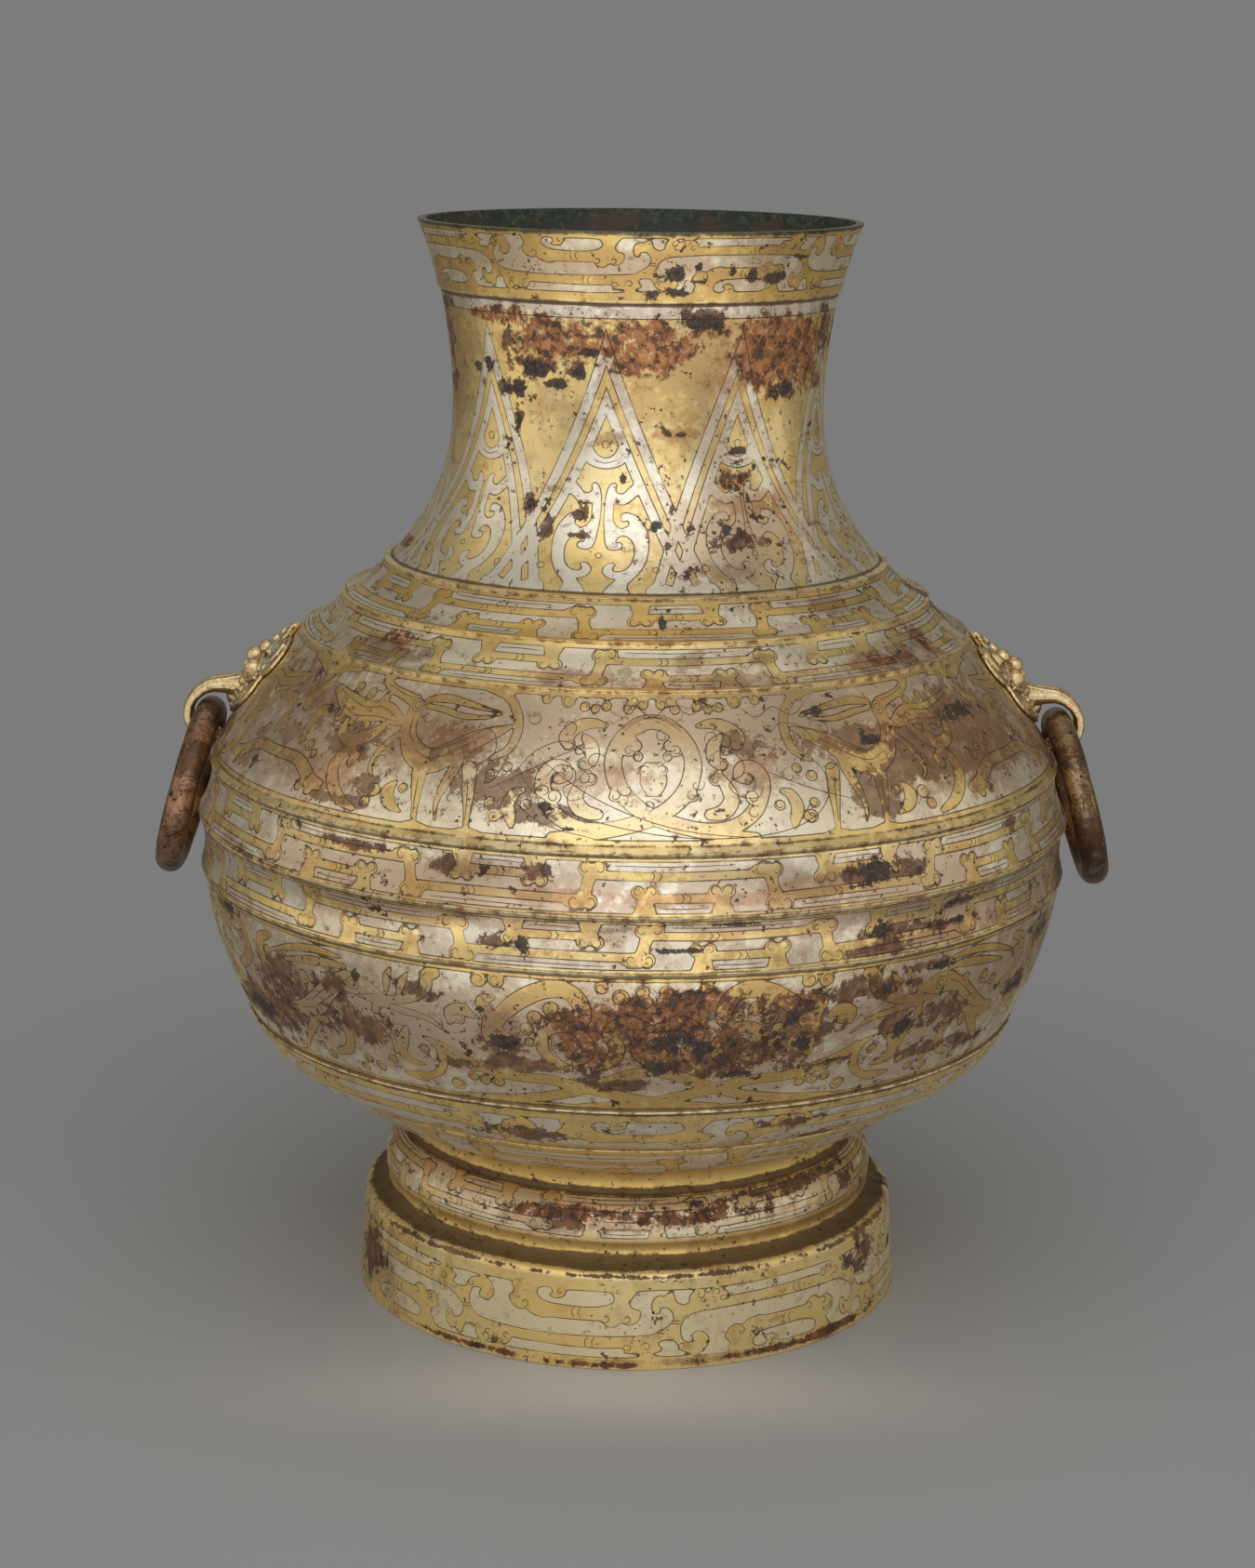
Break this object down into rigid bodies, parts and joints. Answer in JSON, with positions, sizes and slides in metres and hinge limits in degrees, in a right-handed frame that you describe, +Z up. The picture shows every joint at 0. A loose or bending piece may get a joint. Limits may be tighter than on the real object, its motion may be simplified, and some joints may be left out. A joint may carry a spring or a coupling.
{
  "type": "wine jar",
  "caption": "Round-bellied gilt bronze wine jar on a hollow ring foot, with ridged bands and a ring hanging from an animal mask on each side.",
  "frame": {"origin": "middle of the flat face that the foot stands on", "axes": "+Z up along the jar's axis, X through both masks and rings, Y across them, so -Y is the face seen in front view"},
  "size_m": [0.4024, 0.3644, 0.45],
  "materials": {
    "gilded_bronze": "gilded and silvered bronze with brown and black patina",
    "bright_gilding": "bright gilding with green corrosion in its hollows",
    "worn_bronze": "dark bronze, rubbed coppery where it shows"
  },
  "bodies": {
    "jar": {"vessel_body": "gilded_bronze", "left_mask": "bright_gilding", "right_mask": "bright_gilding"},
    "left_ring": {"left_ring": "worn_bronze"},
    "right_ring": {"right_ring": "worn_bronze"}
  },
  "joints": [
    {"name": "right_ring_swing", "type": "hinge", "parent": "jar", "child": "right_ring", "pos_m": [0.17806, 0, 0.24382], "axis": [0, -1, 0], "range_deg": [0, 200]},
    {"name": "left_ring_swing", "type": "hinge", "parent": "jar", "child": "left_ring", "pos_m": [-0.17806, 0, 0.24382], "axis": [0, 1, 0], "range_deg": [0, 200]}
  ]
}
